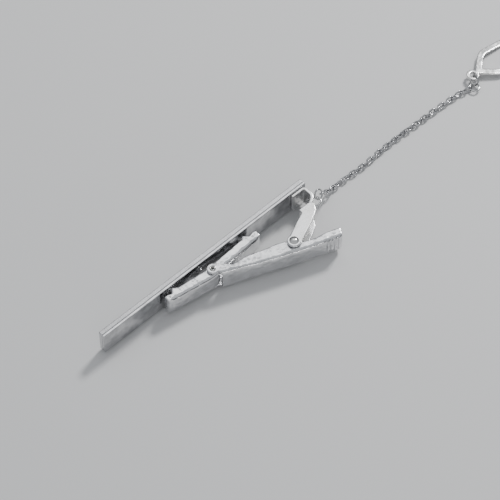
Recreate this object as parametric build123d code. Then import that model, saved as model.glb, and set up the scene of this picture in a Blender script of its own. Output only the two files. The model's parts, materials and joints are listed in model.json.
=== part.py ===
from build123d import *
import math
import os

# Tie clip lying on its long edge, with a safety chain and a shirt button ring. Millimetres.
# The bar runs along X, its hinge end at -X and its free end at +X. Its front face looks to -Y
# and the clasp is on the +Y side. Z is up. Points written (h, y) are measured from the bar's
# hinge end towards its free end, and from the bar's back face towards the clasp.

# bar
BAR_LENGTH = 55.5
BAR_WIDTH = 6.0
FRONT_PLATE_T = 1.0
BACK_PLATE_T = 0.6
FRONT_EDGE_R = 0.18
BACK_EDGE_BEVEL = 0.22

# hinge bracket, one folded sheet
SHEET_T = 0.65
STRIP_WIDTH = 5.0
EARS_WIDTH = 6.6
EAR_T = 0.6
PAD_END_H = 4.2
STRIP_FOOT_H = 0.75
STRIP_KNEE = (0.62, 3.05)
WEB_Y = 4.42
WEB_NEAR_H = 3.1
WEB_FAR_H = 5.75
STRIP_FOOT_R = 0.55
STRIP_KNEE_R = 1.7
WEB_BEND_R = 1.0
EAR_END_R = 1.45
RING_HOLE_R = 0.5
RING_HOLE_DEPTH = 1.6
RING_HOLES = ((0.65, 2.12), (1.68, 3.55))
RING_HOLE_LEANS = (0.0, 62.0)
WEB_START_H = 2.9
EAR_CORNER = [(2.35, 0.25), (2.25, 0.8), (2.45, 1.5)]
EAR_BACK = [(3.05, 6.45), (4.1, 7.15), (6.9, 8.55), (10.9, 10.25)]
EAR_INNER = [(11.5, 7.6), (8.0, 5.95), (6.5, 5.35), (5.95, 5.1)]
EAR_INNER_END_Y = 4.9
WELD_SPOT_R = 0.45
WELD_SPOT_H = 2.6
WELD_SPOT_T = 0.12
WELD_SPOT_RISE = 1.1

# pivots
PIVOT = (11.66, 8.97)
PIVOT_SHANK_R = 0.5
PIVOT_HEAD_R = 1.0
PIVOT_HEAD_H = 0.34
JAW_PIVOT = (28.42, 2.56)
JAW_SHANK_R = 0.42
JAW_HEAD_R = 0.68
JAW_HEAD_H = 0.3
JAW_RIVET_BORE_R = 0.2
JAW_RIVET_ROUNDING = 0.6
JAW_RIVET_FLARE = 0.16
JAW_RIVET_MOUTH = 0.3
RUNNING_GAP = 0.05

# lever, a folded channel
LEVER_WIDTH = 5.0
LEVER_T = 0.5
LEVER_BEND_R = 0.65
LEVER_BACK = [(27.63, 4.75), (18.0, 8.87), (11.65, 11.45), (3.0, 14.4)]
LEVER_INNER = [(2.0, 12.7), (3.3, 12.15), (5.1, 11.6), (7.3, 11.15), (9.1, 10.6)]
LEVER_INNER_JAW = [(12.9, 7.5), (14.6, 6.75), (17.9, 5.85), (20.8, 4.85), (24.6, 4.4)]
LEVER_PIVOT_EAR_R = 1.5
LEVER_JAW_EAR_R = 1.26
JOGGLE_H = (19.5, 25.4)
SIDE_GAP = 0.1
LEVER_JAW_NOSE = (27.3, 1.9)
LEVER_LIP_DROP = 0.12
LEVER_LIP_SLANT = (1.2, 3.5)
LEVER_OPEN_Y = -3.0
LEVER_OPEN_RUN = 5
GRIP_RIDGES = 4
GRIP_RIDGE_R = 0.28
GRIP_SIDE = 0.55
GRIP_PITCH = 0.85
GRIP_START = 0.75
GRIP_RISE = 0.03

# jaw, a folded channel that rocks on the lever's end
JAW_WIDTH = 4.7
JAW_T = 0.5
JAW_BEND_R = 0.7
JAW_HOLLOW_END = (0.1, 0.2)
JAW_HOLLOW_START = (0.1, 0.1)
JAW_BACK = [(40.0, 1.7), (39.1, 2.55), (29.5, 4.05), (27.3, 3.95), (25.1, 3.5), (16.3, 3.1), (15.4, 2.4)]
JAW_FRONT = [
    (15.4, 1.3), (16.3, 1.15), (17.3, 1.45), (18.3, 0.4), (19.0, 1.05), (26.55, 1.46),
    (29.6, 1.6), (36.3, 0.85), (37.45, 0.03), (38.3, 1.1), (39.2, 0.75), (40.0, 0.75),
]
JAW_LIPS = [(39.35, 1.5), (16.05, 2.2)]
JAW_LIP_R = 0.72

# torsion spring round the main pivot
SPRING_WIRE_R = 0.2
SPRING_COIL_R = 0.83
SPRING_PITCH = 0.43
SPRING_WHOLE_TURNS = 4
SPRING_WEB_H = 4.6
SPRING_LEVER_H = 5.6
SPRING_SEAT_GAP = 0.03
SPRING_LEVER_SLACK = 1.2

# rings and chain
RING_WIRE_R = 0.19
RING_R = 1.08
OVAL_END_R = 0.98
OVAL_STRAIGHT = 1.0
OVAL_END = (-0.25, 3.2)
OVAL_TURN = 171.0
RING_Z = 3.25
FIRST_RING_TURN = 209.0
FIRST_RING_RISE = 30.0
FIRST_RING_ROLL = -37.0
LINK_WIRE_R = 0.19
LINK_LENGTH = 2.07
LINK_WIDTH = 1.35
LINK_COUNT = 36
LINKS_PER_NODE = 4
LINK_ROLL = 45.0
LINK_TWIST = 5.7
LINK_HOOK_GAP = 0.05
RING_HOOK_GAP = 0.14
CHAIN_Z = 0.72
# the chain's line after its first ring, (h, y, z): down to the surface and along it
CHAIN_ROUTE = [
    (-3.6, 2.5, 2.3), (-5.6, 2.15, 1.05), (-8.6, 1.95, CHAIN_Z), (-15.4, 2.2, CHAIN_Z),
    (-19.5, 1.95, CHAIN_Z), (-30.3, 1.95, CHAIN_Z), (-41.8, 2.4, CHAIN_Z), (-45.3, 2.85, 0.68),
    (-48.5, 4.2, 0.9), (-52.0, 6.0, 0.9),
]
LAST_RING_TURN = 210.0
EYE_RING_TURN = 241.0
EYE_RING_RISE = 19.5
EYE_RING_ROLL = 42.0

# button ring, a flat stamped loop with a hooked eye
LOOP_BAND = 1.4
LOOP_T = 0.6
LOOP_TURN = 178.5
LOOP_NECK = (2.1, 0.95)
LOOP_SHOULDER = (6.8, 4.0)
LOOP_END = (10.9, 3.6)
LOOP_TIP_R = 0.35
LOOP_EDGE_R = 0.1
EYE_OUTER_R = 1.42
EYE_BORE_R = 0.7
EYE_GAP = 0.5
EYE_GAP_TURN = -75.0
EYE_SEAT = 0.3

MID_Z = EARS_WIDTH / 2 + PIVOT_HEAD_H


def row_x(h):
    return h - BAR_LENGTH / 2


def place(points):
    return [(row_x(h), y) for h, y in points]


def prism(points, low, high):
    """A polygon in plan, given as (h, y), raised from low to high."""
    outline = make_face(Polyline(*place(points), close=True))
    return extrude(Pos(0, 0, low) * outline, high - low)


def disc(centre, radius, low, high):
    body = Cylinder(radius, high - low, align=(Align.CENTER, Align.CENTER, Align.MIN))
    return Pos(row_x(centre[0]), centre[1], low) * body


def offset_line(points, distance):
    """An open line's points, each moved sideways by a distance along the line's normal there."""
    moved = []
    for n, (h, y) in enumerate(points):
        before, after = points[max(n - 1, 0)], points[min(n + 1, len(points) - 1)]
        run_h, run_y = after[0] - before[0], after[1] - before[1]
        share = distance / math.hypot(run_h, run_y)
        moved.append((h + share * run_y, y - share * run_h))
    return moved


# ---- bar ----

def front_plate():
    body = Box(BAR_LENGTH, FRONT_PLATE_T, BAR_WIDTH)
    body = Pos(0, -BACK_PLATE_T - FRONT_PLATE_T / 2, MID_Z) * body
    front = body.edges().group_by(Axis.Y)[0]
    return fillet(front, FRONT_EDGE_R)


def back_plate():
    body = Pos(0, -BACK_PLATE_T / 2, MID_Z) * Box(BAR_LENGTH, BACK_PLATE_T, BAR_WIDTH)
    back = body.edges().group_by(Axis.Y)[-1]
    return chamfer(back, BACK_EDGE_BEVEL)


# ---- hinge bracket ----

def strip_line():
    """The bent sheet's middle line: pad on the bar, foot, knee, then the web."""
    half = SHEET_T / 2
    pad, web = [(PAD_END_H, half), (STRIP_FOOT_H, half)], [(WEB_NEAR_H, WEB_Y), (WEB_FAR_H, WEB_Y)]
    corners = pad + [STRIP_KNEE] + web
    radii = [STRIP_FOOT_R, STRIP_KNEE_R, WEB_BEND_R]
    return FilletPolyline(*place(corners), radius=radii)


def bent_sheet(width):
    line = strip_line()
    start, heading = line.position_at(0), line.tangent_at(0)
    section = Plane(origin=start, x_dir=(0, 0, 1), z_dir=heading) * Rectangle(width, SHEET_T)
    return Pos(0, 0, MID_Z) * sweep(section, path=line)


def ear_outline():
    near = WEB_Y - SHEET_T / 2
    corner = [(h, near + rise) for h, rise in EAR_CORNER]
    start, end = [(WEB_FAR_H, near), (WEB_START_H, near)], [(WEB_FAR_H, EAR_INNER_END_Y)]
    return start + corner + EAR_BACK + [PIVOT] + EAR_INNER + end


def hinge_bracket():
    strip = bent_sheet(STRIP_WIDTH)
    web_low = MID_Z - EARS_WIDTH / 2
    near, far = WEB_Y - SHEET_T / 2, WEB_Y + SHEET_T / 2
    corners = [(WEB_START_H, near), (WEB_FAR_H, near), (WEB_FAR_H, far), (WEB_START_H, far)]
    body = strip + prism(corners, web_low, web_low + EARS_WIDTH)
    for low in (web_low, web_low + EARS_WIDTH - EAR_T):
        ear = prism(ear_outline(), low, low + EAR_T) + disc(PIVOT, EAR_END_R, low, low + EAR_T)
        body = body + ear
    body = body - disc(PIVOT, PIVOT_SHANK_R, web_low - 1, web_low + EARS_WIDTH + 1)
    for (h, y), lean in zip(RING_HOLES, RING_HOLE_LEANS):
        hole = Rot(0, 0, lean) * Rot(0, 90, 0) * Cylinder(RING_HOLE_R, RING_HOLE_DEPTH)
        body = body - Pos(row_x(h), y, RING_Z) * hole
    for rise in (-WELD_SPOT_RISE, WELD_SPOT_RISE):
        spot = Rot(90, 0, 0) * Cylinder(WELD_SPOT_R, WELD_SPOT_T)
        body = body + Pos(row_x(WELD_SPOT_H), SHEET_T, MID_Z + rise) * spot
    return body


# ---- rivets ----

def domed_rivet(centre, half_length, shank_r, head_r, head_h):
    """A shank with a low dome on each end, its heads seated at plus and minus half_length."""
    rise = (head_r ** 2 + head_h ** 2) / (2 * head_h)
    cap = Sphere(rise) & Pos(0, 0, rise - head_h / 2) * Box(2 * head_r + 1, 2 * head_r + 1, head_h)
    cap = Pos(0, 0, half_length - (rise - head_h)) * cap
    body = Cylinder(shank_r, 2 * half_length + 0.1) + cap + Rot(180, 0, 0) * cap
    return Pos(row_x(centre[0]), centre[1], MID_Z) * body


def main_rivet():
    return domed_rivet(PIVOT, EARS_WIDTH / 2, PIVOT_SHANK_R, PIVOT_HEAD_R, PIVOT_HEAD_H)


def jaw_ear_outer():
    return JAW_WIDTH / 2 + SIDE_GAP + LEVER_T


def jaw_rivet():
    """A tubular rivet, its flared heads seated on the lever's ears."""
    reach = jaw_ear_outer()
    head = Cylinder(JAW_HEAD_R, JAW_HEAD_H)
    rims = head.edges().filter_by(GeomType.CIRCLE).group_by(Axis.Z)[-1]
    head = fillet(rims, JAW_HEAD_H * JAW_RIVET_ROUNDING)
    head = Pos(0, 0, reach + JAW_HEAD_H / 2) * head
    body = Cylinder(JAW_SHANK_R, 2 * reach + 0.1) + head + Rot(180, 0, 0) * head
    mouth = Cone(JAW_RIVET_BORE_R, JAW_RIVET_BORE_R + JAW_RIVET_FLARE, JAW_RIVET_MOUTH)
    mouth = Pos(0, 0, reach + JAW_HEAD_H) * mouth
    body = body - Cylinder(JAW_RIVET_BORE_R, 3 * reach) - mouth - Rot(180, 0, 0) * mouth
    return Pos(row_x(JAW_PIVOT[0]), JAW_PIVOT[1], MID_Z) * body


# ---- lever ----

def channel_width(half_narrow, half_wide):
    """The plan of the channel's width: narrow along the lever, wide where it straddles the jaw."""
    far, near = 45.0, -5.0
    steps = [(near, half_narrow), (JOGGLE_H[0], half_narrow), (JOGGLE_H[1], half_wide), (far, half_wide)]
    top = [(row_x(h), MID_Z + w) for h, w in steps]
    low = [(row_x(h), MID_Z - w) for h, w in reversed(steps)]
    outline = Plane.XZ * make_face(Polyline(*(top + low), close=True))
    return extrude(outline, 20, both=True)


def lever_side():
    """The lever's side view as a solid slab: its back, its inner edge and the two pivot ears."""
    outline = LEVER_BACK + LEVER_INNER + [PIVOT] + LEVER_INNER_JAW + [LEVER_JAW_NOSE, JAW_PIVOT]
    back = Spline(*place(LEVER_BACK))
    rest = Polyline(*place([LEVER_BACK[-1]] + outline[len(LEVER_BACK):] + [LEVER_BACK[0]]))
    low, high = MID_Z - EARS_WIDTH / 2, MID_Z + EARS_WIDTH / 2
    side = extrude(Pos(0, 0, low) * make_face(Wire([back] + rest.edges())), EARS_WIDTH)
    ears = disc(PIVOT, LEVER_PIVOT_EAR_R, low, high) + disc(JAW_PIVOT, LEVER_JAW_EAR_R, low, high)
    return side + ears


def lever_hollow():
    """Everything under the lever's back and past its jaw end, up to the lip that closes the finger end."""
    inner = offset_line(LEVER_BACK, -LEVER_T)
    back_end = LEVER_BACK[0]
    away = (back_end[0] - inner[0][0], back_end[1] - inner[0][1])
    above = (back_end[0] + LEVER_OPEN_RUN * away[0], back_end[1] + LEVER_OPEN_RUN * away[1])
    lip = (inner[-1][0] + LEVER_T, inner[-1][1] - LEVER_LIP_DROP)
    under = (lip[0] - LEVER_LIP_SLANT[0], lip[1] - LEVER_LIP_SLANT[1])
    past = JAW_PIVOT[0] + 2 * LEVER_JAW_EAR_R
    opening = [(under[0], LEVER_OPEN_Y), (past, LEVER_OPEN_Y), (past, above[1]), above]
    return prism(inner[:-1] + [lip, under] + opening, -1, 2 * MID_Z + 1)


def grip_ridges():
    ridges = []
    start, end = LEVER_BACK[-1], LEVER_BACK[-2]
    run = math.hypot(end[0] - start[0], end[1] - start[1])
    for n in range(GRIP_RIDGES):
        along = (GRIP_START + GRIP_PITCH * n) / run
        h = start[0] + along * (end[0] - start[0])
        y = start[1] + along * (end[1] - start[1])
        ridge = round_bar(LEVER_WIDTH - 2 * GRIP_SIDE, GRIP_RIDGE_R)
        ridges.append(Pos(row_x(h), y + GRIP_RISE, MID_Z) * ridge)
    return ridges


def round_bar(length, radius):
    bar = Cylinder(radius, length)
    return bar + Pos(0, 0, length / 2) * Sphere(radius) + Pos(0, 0, -length / 2) * Sphere(radius)


def lever():
    outer = lever_side() & channel_width(LEVER_WIDTH / 2, jaw_ear_outer())
    rims = [e for e in outer.edges() if on_lever_back(e)]
    outer = fillet(rims, LEVER_BEND_R)
    inner = lever_hollow() & channel_width(LEVER_WIDTH / 2 - LEVER_T, jaw_ear_outer() - LEVER_T)
    body = outer - inner
    for ridge in grip_ridges():
        body = body + ridge
    body = body - disc(PIVOT, PIVOT_SHANK_R + RUNNING_GAP, -1, 2 * MID_Z + 1)
    return body - disc(JAW_PIVOT, JAW_SHANK_R, -1, 2 * MID_Z + 1)


def on_lever_back(edge):
    """True for the two long edges where the lever's back meets its sides, along the narrow stretch."""
    middle = edge.position_at(0.5)
    at_side = abs(abs(middle.Z - MID_Z) - LEVER_WIDTH / 2) < 0.01
    h, y = middle.X + BAR_LENGTH / 2, middle.Y
    return at_side and edge.length > 10 and y > 5 and h < JOGGLE_H[0]


# ---- jaw ----

def jaw():
    low, high = MID_Z - JAW_WIDTH / 2, MID_Z + JAW_WIDTH / 2
    outer = prism(JAW_BACK + JAW_FRONT, low, high)
    outer = fillet([e for e in outer.edges() if on_jaw_back(e)], JAW_BEND_R)
    inner = offset_line(JAW_BACK[1:-1], -JAW_T)
    first, last = inner[0], inner[-1]
    end_h, start_h = first[0] + JAW_HOLLOW_END[0], last[0] - JAW_HOLLOW_START[0]
    hollow = [(end_h, first[1] - JAW_HOLLOW_END[1])] + inner[1:-1]
    hollow = hollow + [(start_h, last[1] - JAW_HOLLOW_START[1]), (start_h, -1.0), (end_h, -1.0)]
    body = outer - prism(hollow, low + JAW_T, high - JAW_T)
    for lip in JAW_LIPS:
        body = body + disc(lip, JAW_LIP_R, low, high)
    return body - disc(JAW_PIVOT, JAW_SHANK_R + RUNNING_GAP, low - 1, high + 1)


def on_jaw_back(edge):
    """True for the edges where the jaw's back meets its sides, apart from its rounded ends."""
    middle = edge.position_at(0.5)
    flat = abs(edge.tangent_at(0.5).Z) < 0.01
    return flat and middle.Y > 2.7 and edge.length > 1.0


# ---- spring ----

def lever_back_inside(h):
    """The inner face of the lever's back at a station on its finger side."""
    (end_h, end_y), (knee_h, knee_y) = LEVER_BACK[-1], LEVER_BACK[-2]
    slope = (end_y - knee_y) / (end_h - knee_h)
    return knee_y + slope * (h - knee_h) - LEVER_T * math.hypot(1, slope)


def tangent_turn(reach, side):
    """The turn, in degrees, of the point on the coil where a line to a leg's tip leaves it."""
    towards = math.degrees(math.atan2(reach[1], reach[0]))
    return towards + side * math.degrees(math.acos(SPRING_COIL_R / math.hypot(*reach)))


def leg_length(reach):
    return math.sqrt(math.hypot(*reach) ** 2 - SPRING_COIL_R ** 2)


def torsion_spring():
    """A close coil on the pivot's axis. Its legs bear on the bracket's web and under the lever."""
    seat = SPRING_WIRE_R + SPRING_SEAT_GAP
    web_tip = (SPRING_WEB_H - PIVOT[0], WEB_Y + SHEET_T / 2 + seat - PIVOT[1])
    under_lever = lever_back_inside(SPRING_LEVER_H) - SPRING_LEVER_SLACK * seat
    lever_tip = (SPRING_LEVER_H - PIVOT[0], under_lever - PIVOT[1])
    first, last = tangent_turn(web_tip, 1), tangent_turn(lever_tip, -1)
    turns = SPRING_WHOLE_TURNS + (last - first) % 360 / 360
    height = turns * SPRING_PITCH
    coil = Pos(0, 0, -height / 2) * Rot(0, 0, first) * Helix(SPRING_PITCH, height, SPRING_COIL_R)
    begin, end = coil.position_at(0), coil.position_at(1)
    web_leg = Line(begin - coil.tangent_at(0) * leg_length(web_tip), begin)
    lever_leg = Line(end, end + coil.tangent_at(1) * leg_length(lever_tip))
    line = Wire([web_leg] + list(coil.edges()) + [lever_leg])
    section = Plane(origin=line.position_at(0), z_dir=line.tangent_at(0)) * Circle(SPRING_WIRE_R)
    return Pos(row_x(PIVOT[0]), PIVOT[1], MID_Z) * sweep(section, path=line, is_frenet=True)


# ---- rings and chain ----

def heading_of(turn, rise=0.0):
    """A direction: turned about Z from +X, then raised above the surface, in degrees."""
    turn, rise = math.radians(turn), math.radians(rise)
    return Vector(math.cos(turn) * math.cos(rise), math.sin(turn) * math.cos(rise), math.sin(rise))


def lying_along(centre, heading, roll):
    """A plane through centre whose X runs along heading. Roll 0 stands it upright, and 90 lays it flat."""
    across = Vector(-heading.Y, heading.X, 0).normalized()
    normal = across.rotate(Axis((0, 0, 0), tuple(heading)), roll)
    return Plane(origin=centre, x_dir=heading, z_dir=normal)


def stadium_ring(end_radius, straight, wire_r):
    """A closed wire ring with round ends, lying in XY with its length along X."""
    line = SlotCenterToCenter(straight, 2 * end_radius).wire()
    section = Plane(origin=line.position_at(0), z_dir=line.tangent_at(0)) * Circle(wire_r)
    return sweep(section, path=line)


def ring_reach(radius):
    """From a ring's centre to the point where the next ring or link hooks it, on a straight pull."""
    return radius - RING_WIRE_R - RING_HOOK_GAP / 2


def oval_heading():
    return heading_of(OVAL_TURN)


def oval_end():
    return Vector(row_x(OVAL_END[0]), OVAL_END[1], RING_Z)


def bracket_ring():
    middle = oval_end() - oval_heading() * (OVAL_STRAIGHT / 2)
    return lying_along(middle, oval_heading(), 90) * stadium_ring(OVAL_END_R, OVAL_STRAIGHT, RING_WIRE_R)


def first_hook():
    """Where the chain's first ring hooks the bracket's oval ring."""
    return oval_end() + heading_of(FIRST_RING_TURN) * ring_reach(OVAL_END_R)


def first_ring_heading():
    return heading_of(FIRST_RING_TURN, FIRST_RING_RISE)


def first_ring_middle():
    return first_hook() + first_ring_heading() * ring_reach(RING_R)


def first_ring_plane():
    return lying_along(first_ring_middle(), first_ring_heading(), FIRST_RING_ROLL)


def first_ring():
    return first_ring_plane() * Torus(RING_R, RING_WIRE_R)


def chain_start():
    """Where the first link hooks the first ring, on the ring's side that faces along the chain."""
    plane = first_ring_plane()
    h, y, z = CHAIN_ROUTE[1]
    towards = Vector(row_x(h), y, z) - first_ring_middle()
    flat = (towards - plane.z_dir * towards.dot(plane.z_dir)).normalized()
    return first_ring_middle() + flat * ring_reach(RING_R)


def link_hooks():
    """The points where each link hooks the one before, a link's pitch apart along the chain's line."""
    stations = [tuple(chain_start())] + [(row_x(h), y, z) for h, y, z in CHAIN_ROUTE]
    line = Spline(*stations)
    pitch = LINK_LENGTH - 4 * LINK_WIRE_R - LINK_HOOK_GAP
    hooks, along, step = [line.position_at(0)], 0.0, 0.1 / line.length
    for _ in range(LINK_COUNT):
        while (line.position_at(along) - hooks[-1]).length < pitch:
            along += step
        before = (line.position_at(along - step) - hooks[-1]).length
        after = (line.position_at(along) - hooks[-1]).length
        along -= step * (after - pitch) / (after - before)
        hooks.append(line.position_at(along))
    return hooks


def chain_links(hooks):
    """Every link of the chain, each rolled a quarter turn and a little twist from the last."""
    half_width = LINK_WIDTH / 2 - LINK_WIRE_R
    shape = stadium_ring(half_width, LINK_LENGTH - LINK_WIDTH, LINK_WIRE_R)
    links = []
    for n, (start, end) in enumerate(zip(hooks, hooks[1:])):
        roll = LINK_ROLL + n * (90 + LINK_TWIST)
        links.append(lying_along((start + end) * 0.5, (end - start).normalized(), roll) * shape)
    return links


def last_ring_middle(hooks):
    run = (hooks[-1] - hooks[-2]).normalized()
    level = Vector(run.X, run.Y, 0).normalized()
    return hooks[-1] + level * ring_reach(RING_R)


def last_ring(hooks):
    return Pos(*tuple(last_ring_middle(hooks))) * Torus(RING_R, RING_WIRE_R)


def eye_hook(hooks):
    """Where the eye ring hooks the chain's last ring."""
    reach = ring_reach(RING_R)
    return last_ring_middle(hooks) + heading_of(LAST_RING_TURN) * reach


def eye_ring_middle(hooks):
    reach = ring_reach(RING_R)
    return eye_hook(hooks) + heading_of(EYE_RING_TURN, EYE_RING_RISE) * reach


def eye_ring(hooks):
    heading = heading_of(EYE_RING_TURN, EYE_RING_RISE)
    return lying_along(eye_ring_middle(hooks), heading, EYE_RING_ROLL) * Torus(RING_R, RING_WIRE_R)


def eye_middle(hooks):
    """The centre of the button ring's eye: the eye ring's wire lies against the eye's bore."""
    heading = heading_of(EYE_RING_TURN, EYE_RING_RISE)
    return eye_ring_middle(hooks) + heading * RING_R + heading_of(EYE_RING_TURN) * EYE_SEAT


# ---- button ring ----

def tear_shape(circles):
    """The outline drawn tight round circles on the X axis, given as (x, radius), smallest first."""
    placed = [Pos(circles[0][0], 0) * Circle(circles[0][1])]
    placed += [Pos(x, 0) * Rot(0, 0, 180) * Circle(radius) for x, radius in circles[1:]]
    return make_hull([e for circle in placed for e in circle.edges()])


def loop_band():
    """The loop's flat band, as wide as LOOP_BAND all round its opening."""
    spread = (LOOP_SHOULDER[1] - LOOP_NECK[1]) / (LOOP_SHOULDER[0] - LOOP_NECK[0])
    tip_x = LOOP_NECK[0] + (LOOP_TIP_R + LOOP_BAND - LOOP_NECK[1]) / spread
    inner = [(tip_x, LOOP_TIP_R)] + [(x, radius - LOOP_BAND) for x, radius in (LOOP_SHOULDER, LOOP_END)]
    return tear_shape([LOOP_NECK, LOOP_SHOULDER, LOOP_END]) - tear_shape(inner)


def button_ring(hooks):
    """The loop lies along +X of its own plane from the eye, its far end resting on the surface."""
    flat = loop_band() + Circle(EYE_OUTER_R)
    mouth = Rot(0, 0, EYE_GAP_TURN) * Pos(EYE_OUTER_R, 0) * Rectangle(2 * EYE_OUTER_R, EYE_GAP)
    flat = flat - Circle(EYE_BORE_R) - mouth
    plate = Pos(0, 0, -LOOP_T / 2) * extrude(flat, LOOP_T)
    rims = plate.edges().group_by(Axis.Z)
    plate = fillet(rims[0] + rims[-1], LOOP_EDGE_R)
    middle = eye_middle(hooks)
    length = LOOP_END[0] + LOOP_END[1]
    dip = math.degrees(math.asin((middle.Z - LOOP_T / 2) / length))
    return Pos(*tuple(middle)) * Rot(0, 0, LOOP_TURN) * Rot(0, dip, 0) * plate


# ---- the whole clip ----

def clip_parts():
    return {
        "front_plate": front_plate(),
        "back_plate": back_plate(),
        "hinge_bracket": hinge_bracket(),
        "main_rivet": main_rivet(),
        "torsion_spring": torsion_spring(),
        "lever": lever(),
        "jaw_rivet": jaw_rivet(),
        "jaw": jaw(),
    }


def chain_parts(hooks):
    parts = {"bracket_ring": bracket_ring(), "chain_first_ring": first_ring()}
    links = chain_links(hooks)
    for n in range(0, LINK_COUNT, LINKS_PER_NODE):
        parts[f"chain_links_{n // LINKS_PER_NODE + 1}"] = Compound(links[n:n + LINKS_PER_NODE])
    parts["chain_last_ring"] = last_ring(hooks)
    parts["eye_ring"] = eye_ring(hooks)
    parts["button_ring"] = button_ring(hooks)
    return parts


def joint_places(hooks, shift):
    """The points that the joints turn about, for whoever joins the pieces."""
    (low_h, low_y), (high_h, high_y) = RING_HOLES
    bridge = ((low_h + high_h) / 2, (low_y + high_y) / 2)
    places = {
        "lever_pivot": Vector(row_x(PIVOT[0]), PIVOT[1], MID_Z),
        "jaw_pivot": Vector(row_x(JAW_PIVOT[0]), JAW_PIVOT[1], MID_Z),
        "bracket_ring_swing": Vector(row_x(bridge[0]), bridge[1], RING_Z),
        "first_ring_swing": first_hook(),
        "last_ring_swing": hooks[-1],
        "eye_ring_swing": eye_hook(hooks),
        "button_ring_swing": eye_middle(hooks) - heading_of(EYE_RING_TURN) * EYE_SEAT,
    }
    for n in range(0, LINK_COUNT, LINKS_PER_NODE):
        places[f"chain_bend_{n // LINKS_PER_NODE + 1}"] = hooks[n]
    for name, point in places.items():
        print(name, [round(v, 4) for v in tuple(point + shift)])


def main():
    os.makedirs("parts", exist_ok=True)
    hooks = link_hooks()
    clip, chain = clip_parts(), chain_parts(hooks)
    box = Compound([solid for part in clip.values() for solid in part.solids()]).bounding_box()
    shift = Vector(-box.center().X, -box.center().Y, -box.min.Z)
    for name, part in {**clip, **chain}.items():
        placed = [solid.moved(Location(shift)) for solid in part.solids()]
        export_step(Compound(placed), f"parts/{name}.step")
    joint_places(hooks, shift)


main()
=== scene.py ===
import json
import math

import bmesh
import bpy
import numpy as np
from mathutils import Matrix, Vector


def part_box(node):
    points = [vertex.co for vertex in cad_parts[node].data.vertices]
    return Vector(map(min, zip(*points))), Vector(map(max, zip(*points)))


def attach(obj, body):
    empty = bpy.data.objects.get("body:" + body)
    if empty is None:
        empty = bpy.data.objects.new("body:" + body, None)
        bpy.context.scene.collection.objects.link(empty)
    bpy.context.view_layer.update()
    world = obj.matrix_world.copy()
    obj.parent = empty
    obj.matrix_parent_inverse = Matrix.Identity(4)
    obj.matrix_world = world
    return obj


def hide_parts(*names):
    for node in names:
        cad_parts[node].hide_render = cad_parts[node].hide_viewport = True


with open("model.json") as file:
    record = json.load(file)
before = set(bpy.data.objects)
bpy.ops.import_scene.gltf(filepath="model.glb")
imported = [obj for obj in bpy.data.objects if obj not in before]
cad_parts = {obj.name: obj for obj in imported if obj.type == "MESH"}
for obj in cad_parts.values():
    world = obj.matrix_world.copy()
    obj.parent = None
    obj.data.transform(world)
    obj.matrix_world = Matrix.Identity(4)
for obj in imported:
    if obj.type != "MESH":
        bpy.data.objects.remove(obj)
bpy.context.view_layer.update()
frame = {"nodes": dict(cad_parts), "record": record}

MM = 0.001
NODES = frame["nodes"]
RECORD = frame["record"]
BODY_OF = {node: body for body, nodes in RECORD["behaviour"]["bodies"].items() for node in nodes}
SLOT_OF = {part["node"]: part["material_slot"] for part in RECORD["subparts"]}

# how many sides a wire and a turned head are drawn with
WIRE_SIDES = 14
RIVET_SIDES = 56
RING_STEPS = 64
LINK_STEPS = 32

# skins of the pressed sheets, roundings of the plates, and the rivets' hidden radii
CHANNEL_SKIN = 0.09 * MM
BRACKET_SKIN = 0.085 * MM
LOOP_SKIN = 0.07 * MM
FRONT_ROUNDING = 0.16 * MM
BACK_ROUNDING = 0.12 * MM
PIVOT_SHANK = 0.5 * MM
JAW_SHANK = 0.42 * MM
JAW_BORE = 0.2 * MM
MERGE = 1e-4 * MM
PLATE_MERGE = 1e-5 * MM


# ---- shader maths ----

class Shade:
    """A socket of one material's node tree that adds Math nodes when it is used in an expression."""

    def __init__(self, tree, socket):
        self.tree, self.socket = tree, socket

    def node(self, kind, settings=None, **inputs):
        """Adds a node of a kind, with its settings made first and then its sockets set or linked."""
        made = self.tree.nodes.new(kind)
        for key, value in (settings or {}).items():
            setattr(made, key, value)
        for key, value in inputs.items():
            slot = made.inputs[int(key[1:])] if key[0] == "_" else made.inputs[key.replace("_", " ")]
            if isinstance(value, Shade):
                self.tree.links.new(value.socket, slot)
            else:
                slot.default_value = value
        return made

    def maths(self, operation, first, second):
        made = self.node("ShaderNodeMath", {"operation": operation}, _0=first, _1=second)
        return Shade(self.tree, made.outputs[0])

    def __add__(self, other):
        return self.maths("ADD", self, other)

    def __radd__(self, other):
        return self.maths("ADD", other, self)

    def __sub__(self, other):
        return self.maths("SUBTRACT", self, other)

    def __rsub__(self, other):
        return self.maths("SUBTRACT", other, self)

    def __mul__(self, other):
        return self.maths("MULTIPLY", self, other)

    def __rmul__(self, other):
        return self.maths("MULTIPLY", other, self)

    def __pow__(self, other):
        return self.maths("POWER", self, other)

    def ramp(self, low, high):
        """0 below low, 1 above high and smooth between them."""
        settings = {"interpolation_type": "SMOOTHSTEP", "clamp": True}
        made = self.node("ShaderNodeMapRange", settings, Value=self, From_Min=low, From_Max=high)
        return Shade(self.tree, made.outputs[0])


def start_material(name):
    """A new material: its tree, its Principled shader and its Object coordinates in millimetres."""
    material = bpy.data.materials.new(name)
    material.use_nodes = True
    tree = material.node_tree
    shader = tree.nodes["Principled BSDF"]
    coordinates = tree.nodes.new("ShaderNodeTexCoord")
    place = Shade(tree, coordinates.outputs["Object"])
    scaled = place.node("ShaderNodeVectorMath", {"operation": "SCALE"}, _0=place, Scale=1 / MM)
    return material, tree, shader, Shade(tree, scaled.outputs[0])


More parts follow.
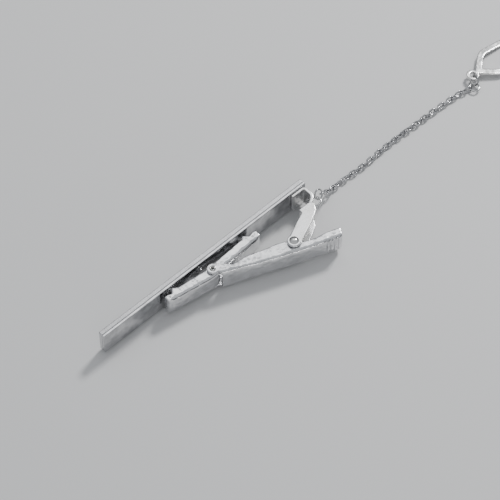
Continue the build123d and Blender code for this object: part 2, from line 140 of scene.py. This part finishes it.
def noise(place, stretch, scale, detail=3.0, roughness=0.55):
    """Noise on millimetre coordinates, with each axis stretched by its own share."""
    mapped = place.node("ShaderNodeMapping", None, Vector=place, Scale=stretch)
    vector = Shade(place.tree, mapped.outputs[0])
    sizes = {"Scale": scale, "Detail": detail, "Roughness": roughness}
    made = place.node("ShaderNodeTexNoise", None, Vector=vector, **sizes)
    return Shade(place.tree, made.outputs[0])


def mixed(tree, share, low, high):
    """A colour between two others, by a share from 0 to 1."""
    made = share.node("ShaderNodeMix", {"data_type": "RGBA"}, _0=share, _6=(*low, 1), _7=(*high, 1))
    return Shade(tree, made.outputs[2])


def plated(name, tone, dull_and_painted_reflection, gloss, grain, grain_scale, grain_depth, waviness, wear):
    """Nickel-chrome plate.

    Its colour drifts in soft clouds between tone and a darker second tone, which on the back plate is a
    painted dark reflection; its roughness rises in hairline scratches that run along the axis with the least
    stretch, and two bumps give the scratches and the long waves of bent sheet.
    """
    material, tree, shader, place = start_material(name)
    clouds = noise(place, (1, 1, 1), 0.45).ramp(0.35, 0.7)
    hairs = noise(place, grain, grain_scale, detail=5.0, roughness=0.7)
    specks = noise(place, (1, 1, 1), 5.5, detail=2.0).ramp(0.66, 0.8)
    # on the back plate the darker clouds are a painted dark reflection
    colour = mixed(tree, clouds, tone, dull_and_painted_reflection)
    tree.links.new(colour.socket, shader.inputs["Base Color"])
    rough = gloss + hairs.ramp(0.45, 0.8) * wear + specks * (0.5 * wear)
    tree.links.new(rough.socket, shader.inputs["Roughness"])
    shader.inputs["Metallic"].default_value = 1.0
    waves = noise(place, (1, 1, 1), 0.55, detail=1.0)
    height = hairs * grain_depth + waves * waviness
    bump = height.node("ShaderNodeBump", None, Height=height, Strength=1.0, Distance=MM)
    tree.links.new(bump.outputs[0], shader.inputs["Normal"])
    return material


# ---- finishes ----

BRIGHT = (0.80, 0.80, 0.81)
SOFT_GREY = (0.62, 0.62, 0.63)
NICKEL = (0.70, 0.695, 0.68)
STEEL = (0.48, 0.48, 0.49)
PAINTED_DARK_REFLECTION = (0.42, 0.42, 0.43)
# a base colour darkened to paint the dark reflection on the back plate's faces
SLATE = (0.55, 0.55, 0.56)
RING_GREY = (0.60, 0.60, 0.60)
LINK_GREY = (0.56, 0.56, 0.57)
DARK_WIRE = (0.40, 0.40, 0.41)

ALONG_BAR = (0.04, 1, 1)
ALONG_FOLD = (0.2, 1, 1)
ROUND_HEAD = (1, 1, 0.2)
EVEN = (1, 1, 1)

# name, tone, darker second tone (a painted dark reflection on the back plate), gloss, grain's stretch, scale
# and depth, waviness, wear
FINISH = {
    "bar_front": plated("brushed_bar_front", SLATE, SOFT_GREY, 0.24, ALONG_BAR, 14.0, 0.010, 0.0, 0.25),
    # the back plate's darker second tone is a painted dark reflection, not the plate's own colour
    "bar_back": plated("mirror_bar_back_painted_reflection", SOFT_GREY, PAINTED_DARK_REFLECTION, 0.10, ALONG_BAR, 12.0, 0.002, 0.02, 0.1),
    "bracket": plated("satin_bracket", BRIGHT, NICKEL, 0.22, (0.3, 1, 1), 10.0, 0.006, 0.03, 0.15),
    "main_rivet": plated("turned_rivet", NICKEL, STEEL, 0.15, ROUND_HEAD, 9.0, 0.004, 0.0, 0.12),
    "jaw_rivet": plated("flared_rivet", NICKEL, STEEL, 0.15, ROUND_HEAD, 9.0, 0.004, 0.0, 0.12),
    "spring": plated("spring_wire", STEEL, DARK_WIRE, 0.2, EVEN, 8.0, 0.003, 0.0, 0.12),
    "lever": plated("folded_lever", BRIGHT, SOFT_GREY, 0.20, ALONG_FOLD, 10.0, 0.003, 0.20, 0.08),
    "jaw": plated("folded_jaw", BRIGHT, SOFT_GREY, 0.14, ALONG_FOLD, 10.0, 0.003, 0.18, 0.1),
    "bracket_ring": plated("ring_wire", RING_GREY, STEEL, 0.10, EVEN, 8.0, 0.002, 0.0, 0.1),
    "chain_links": plated("chain_wire", LINK_GREY, DARK_WIRE, 0.10, EVEN, 8.0, 0.002, 0.0, 0.12),
    "button_ring": plated("stamped_loop", NICKEL, SOFT_GREY, 0.16, (0.3, 0.3, 1), 8.0, 0.004, 0.05, 0.15),
}
FINISH["chain_first_ring"] = FINISH["bracket_ring"]
FINISH["chain_last_ring"] = FINISH["bracket_ring"]
FINISH["eye_ring"] = FINISH["bracket_ring"]


# ---- making pieces ----

def add_piece(name, nodes, vertices, faces, smooth_above):
    """Puts a finished surface in the scene in place of the CAD nodes that it stands for."""
    mesh = bpy.data.meshes.new(name)
    mesh.from_pydata(np.asarray(vertices, float).tolist(), [], np.asarray(faces).tolist())
    return settle(bpy.data.objects.new(name, mesh), nodes, smooth_above)


def settle(piece, nodes, smooth_above):
    """Gives a piece its finish, shading, body and slot. Edges over smooth_above degrees stay crisp."""
    bpy.context.scene.collection.objects.link(piece)
    piece.data.materials.clear()
    piece.data.materials.append(FINISH[SLOT_OF[nodes[0]]])
    piece.data.shade_smooth()
    piece.data.set_sharp_from_angle(angle=math.radians(smooth_above))
    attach(piece, BODY_OF[nodes[0]])
    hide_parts(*nodes)
    return piece


def grid_faces(rows, columns):
    """Quads of a grid that closes on itself in both directions."""
    row, column = np.meshgrid(np.arange(rows), np.arange(columns), indexing="ij")
    next_row, next_column = (row + 1) % rows, (column + 1) % columns
    corners = [row * columns + column, next_row * columns + column,
               next_row * columns + next_column, row * columns + next_column]
    return np.stack(corners, axis=-1).reshape(-1, 4)


def merged_islands(node):
    """The corners of each separate solid of a CAD node, as arrays."""
    shape = bmesh.new()
    shape.from_mesh(NODES[node].data)
    bmesh.ops.remove_doubles(shape, verts=shape.verts, dist=MERGE)
    islands, seen = [], set()
    for first in shape.verts:
        if first in seen:
            continue
        stack, island = [first], []
        seen.add(first)
        while stack:
            corner = stack.pop()
            island.append(corner.co[:])
            for edge in corner.link_edges:
                other = edge.other_vert(corner)
                if other not in seen:
                    seen.add(other)
                    stack.append(other)
        islands.append(np.array(island))
    shape.free()
    return islands


def ring_place(corners):
    """A closed wire ring's centre, its axes (length, width, normal) and its half sizes along them."""
    low, high = corners.min(0), corners.max(0)
    axes = np.linalg.svd(corners - (low + high) / 2, full_matrices=False)[2]
    axes[2] = np.cross(axes[0], axes[1])
    spread = corners @ axes.T
    low, high = spread.min(0), spread.max(0)
    return ((low + high) / 2) @ axes, axes, (high - low) / 2


def wire_ring(centre, axes, half, steps):
    """A wire ring: a stadium line with a circle carried round it.

    With t from 0 to 2 pi the line is R (cos t, sin t), its two halves pushed apart by the straight's half
    length. The wire's circle turns in the plane of the line's outward normal and the ring's axis.
    """
    wire = half[2]
    radius = half[1] - wire
    straight = max(half[0] - half[1], 0.0)
    turn = (np.arange(steps) + 0.5) * 2 * np.pi / steps
    outward = np.stack([np.cos(turn), np.sin(turn)], -1)
    line = radius * outward + np.stack([straight * np.sign(np.cos(turn)), 0 * turn], -1)
    around = np.arange(WIRE_SIDES) * 2 * np.pi / WIRE_SIDES
    flat = line[:, None, :] + wire * np.cos(around)[None, :, None] * outward[:, None, :]
    rise = np.broadcast_to(-wire * np.sin(around), flat.shape[:2])
    points = np.concatenate([flat, rise[..., None]], -1).reshape(-1, 3)
    return centre + points @ axes, grid_faces(steps, WIRE_SIDES)


def wire_rings(node, steps):
    """Every ring or link of a CAD node, made as one piece."""
    vertices, faces, count = [], [], 0
    for corners in merged_islands(node):
        ring, quads = wire_ring(*ring_place(corners), steps)
        vertices.append(ring)
        faces.append(quads + count)
        count += len(ring)
    return add_piece(f"{node}_wire", [node], np.concatenate(vertices), np.concatenate(faces), 60.0)


def pressed_sheet(node, voxel, rounds):
    """A copy of a CAD node with every edge rolled over, as tumbling and plating leave folded sheet.

    The copy is rebuilt as an even skin and relaxed, so an edge becomes an arc a few voxels wide.
    """
    piece = bpy.data.objects.new(f"{node}_pressed", NODES[node].data.copy())
    shape = bmesh.new()
    shape.from_mesh(piece.data)
    bmesh.ops.remove_doubles(shape, verts=shape.verts, dist=MERGE)
    shape.to_mesh(piece.data)
    shape.free()
    settle(piece, [node], 180.0)
    skin = piece.modifiers.new("even_skin", "REMESH")
    skin.mode = "VOXEL"
    skin.voxel_size = voxel
    skin.use_smooth_shade = True
    relax = piece.modifiers.new("rolled_edges", "SMOOTH")
    relax.factor = 0.5
    relax.iterations = rounds
    return piece


def rounded_plate(node, edge, steps=6):
    """A plate with rounded edges: a ball's surface pulled apart along X, Y and Z.

    For the unit normal n at longitude a and latitude b, a point is the centre + (half size - edge) sign(n)
    + edge n. Each octant of the ball keeps its own corner, so the flat faces open between the octants.
    """
    low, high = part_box(node)
    centre, half = np.array((low + high) / 2), np.array((high - low) / 2)
    quarter = np.linspace(0, np.pi / 2, steps)
    side = np.repeat([(1, 1), (-1, 1), (-1, -1), (1, -1)], steps, axis=0)
    around = np.concatenate([quarter + n * np.pi / 2 for n in range(4)])
    rise = np.concatenate([quarter - np.pi / 2, quarter])
    end = np.repeat([-1, 1], steps)
    normal = np.stack([
        np.broadcast_to(np.sin(rise)[:, None], (2 * steps, 4 * steps)),
        np.cos(rise)[:, None] * np.cos(around)[None, :],
        np.cos(rise)[:, None] * np.sin(around)[None, :],
    ], -1)
    corner = np.empty_like(normal)
    corner[..., 0] = end[:, None]
    corner[..., 1:] = side[None, :, :]
    points = centre + (half - edge) * corner + edge * normal
    rows, columns = 2 * steps, 4 * steps
    row, column = np.meshgrid(np.arange(rows - 1), np.arange(columns), indexing="ij")
    after = (column + 1) % columns
    quads = np.stack([row * columns + column, row * columns + after,
                      (row + 1) * columns + after, (row + 1) * columns + column], -1).reshape(-1, 4)
    piece = add_piece(f"{node}_rounded", [node], points.reshape(-1, 3), quads, 180.0)
    shape = bmesh.new()
    shape.from_mesh(piece.data)
    bmesh.ops.remove_doubles(shape, verts=shape.verts, dist=PLATE_MERGE)
    bmesh.ops.holes_fill(shape, edges=shape.edges)
    bmesh.ops.recalc_face_normals(shape, faces=shape.faces)
    shape.to_mesh(piece.data)
    shape.free()
    piece.data.shade_smooth()
    weighted = piece.modifiers.new("flat_faces", "WEIGHTED_NORMAL")
    weighted.weight = 100
    return piece


def turned(name, node, profile, centre):
    """A turned piece: a closed profile of (radius, height) carried round the vertical through its centre."""
    profile = np.asarray(profile)
    around = np.arange(RIVET_SIDES) * 2 * np.pi / RIVET_SIDES
    spokes = np.stack([np.cos(around), np.sin(around)], -1)
    flat = profile[:, None, :1] * spokes[None, :, :]
    rise = np.broadcast_to(profile[:, None, 1:], (*flat.shape[:2], 1))
    points = centre + np.concatenate([flat, rise], -1).reshape(-1, 3)
    return add_piece(name, [node], points, grid_faces(len(profile), RIVET_SIDES)[:, ::-1], 50.0)


def mirrored(profile):
    """A profile of (radius, height) going down from the middle line, completed by its mirror image above."""
    low = np.asarray(profile)
    return np.concatenate([low, (low * (1, -1))[::-1]])


def domed_rivet(node, shank):
    """A rivet whose heads are low domes: height falls as 1 - (radius / head radius) to the power 2.6."""
    low, high = (np.array(corner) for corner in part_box(node))
    seat = np.array(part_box("hinge_bracket")[1])[2]
    centre, head, half = (low + high) / 2, (high[0] - low[0]) / 2, (high[2] - low[2]) / 2
    under = seat - centre[2]
    share = np.linspace(1, 0.004, 18)
    dome = np.stack([share * head, under + (half - under) * (1 - share ** 2.6)], -1)
    profile = np.concatenate([[(shank, 0.0), (shank, under), (head * 0.99, under)], dome])
    return turned(f"{node}_turned", node, mirrored(profile), centre)


def tube_rivet(node, shank, bore):
    """A tubular rivet: a bore with a flared mouth, and a ring-shaped head that is half a wave high."""
    low, high = (np.array(corner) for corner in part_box(node))
    seat = np.array(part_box("lever")[1])[2]
    centre, head, half = (low + high) / 2, (high[0] - low[0]) / 2, (high[2] - low[2]) / 2
    under = seat - centre[2]
    share = np.linspace(0, 1, 22)
    radius = head - (head - bore * 1.25) * share
    crown = np.stack([radius, under + (half - under) * np.sin(np.pi * share) ** 0.55], -1)
    crown[-1] = (bore, under * 0.97)
    profile = np.concatenate([[(shank, 0.0), (shank, under)], crown, [(bore, 0.0)]])
    return turned(f"{node}_turned", node, mirrored(profile), centre)


# ---- the pieces ----

for node in ("bracket_ring", "chain_first_ring", "chain_last_ring", "eye_ring"):
    wire_rings(node, RING_STEPS)
for node in sorted(NODES):
    if node.startswith("chain_links_"):
        wire_rings(node, LINK_STEPS)
for node in ("lever", "jaw"):
    pressed_sheet(node, CHANNEL_SKIN, 16)
pressed_sheet("hinge_bracket", BRACKET_SKIN, 6)
pressed_sheet("button_ring", LOOP_SKIN, 4)
rounded_plate("front_plate", FRONT_ROUNDING)
rounded_plate("back_plate", BACK_ROUNDING)
domed_rivet("main_rivet", PIVOT_SHANK)
tube_rivet("jaw_rivet", JAW_SHANK, JAW_BORE)
NODES["torsion_spring"].data.materials.clear()
NODES["torsion_spring"].data.materials.append(FINISH["spring"])


# ---- floor, light and camera ----

def studio_floor():
    """A wide pale floor."""
    reach = 1.5
    mesh = bpy.data.meshes.new("studio_floor")
    corners = [(-reach, -reach, 0), (reach, -reach, 0), (reach, reach, 0), (-reach, reach, 0)]
    mesh.from_pydata(corners, [], [(0, 1, 2, 3)])
    floor = bpy.data.objects.new("studio_floor", mesh)
    bpy.context.scene.collection.objects.link(floor)
    material, tree, shader, place = start_material("pale_floor")
    shader.inputs["Base Color"].default_value = (0.70, 0.70, 0.70, 1)
    shader.inputs["Roughness"].default_value = 0.6
    mesh.materials.append(material)


def soft_light(name, place, target, width, height, power):
    lamp = bpy.data.lights.new(name, "AREA")
    lamp.shape = "RECTANGLE"
    lamp.size, lamp.size_y, lamp.energy = width, height, power
    light = bpy.data.objects.new(name, lamp)
    light.location = place
    light.rotation_euler = (Vector(target) - Vector(place)).to_track_quat("-Z", "Y").to_euler()
    bpy.context.scene.collection.objects.link(light)


def studio_world():
    """A studio with dark walls and a pale ceiling: its light grows with height."""
    world = bpy.data.worlds.new("studio_world")
    bpy.context.scene.world = world
    world.use_nodes = True
    tree = world.node_tree
    coordinates = tree.nodes.new("ShaderNodeTexCoord")
    split = tree.nodes.new("ShaderNodeSeparateXYZ")
    tree.links.new(coordinates.outputs["Generated"], split.inputs[0])
    height = Shade(tree, split.outputs[2])
    light = 0.04 + height.ramp(0.12, 0.8) * 0.62
    tree.links.new(light.socket, tree.nodes["Background"].inputs["Strength"])
    tree.nodes["Background"].inputs["Color"].default_value = (0.93, 0.96, 1.0, 1)


def clasp_side_camera():
    """The camera stands off to the clasp's side, above the free end, and looks down along the bar."""
    target = Vector((-10.85, -5.16, 0)) * MM
    camera = bpy.data.cameras.new("camera")
    camera.lens, camera.sensor_width = 165.6, 36.0
    camera.clip_start, camera.clip_end = 0.01, 10
    body = bpy.data.objects.new("camera", camera)
    body.location = target + Vector((176.7, 192.4, 402.6)) * MM
    body.rotation_euler = (target - body.location).to_track_quat("-Z", "Y").to_euler()
    bpy.context.scene.collection.objects.link(body)
    bpy.context.scene.camera = body


studio_floor()
studio_world()
soft_light("overhead", (-0.40, -0.43, 0.90), (-0.01, 0, 0), 0.34, 0.24, 0.42)
soft_light("key", (-0.42, -0.10, 0.42), (-0.01, 0, 0), 0.10, 0.10, 2.6)
soft_light("side", (0.20, 0.50, 0.10), (-0.01, 0, 0), 0.40, 0.05, 0.5)
clasp_side_camera()
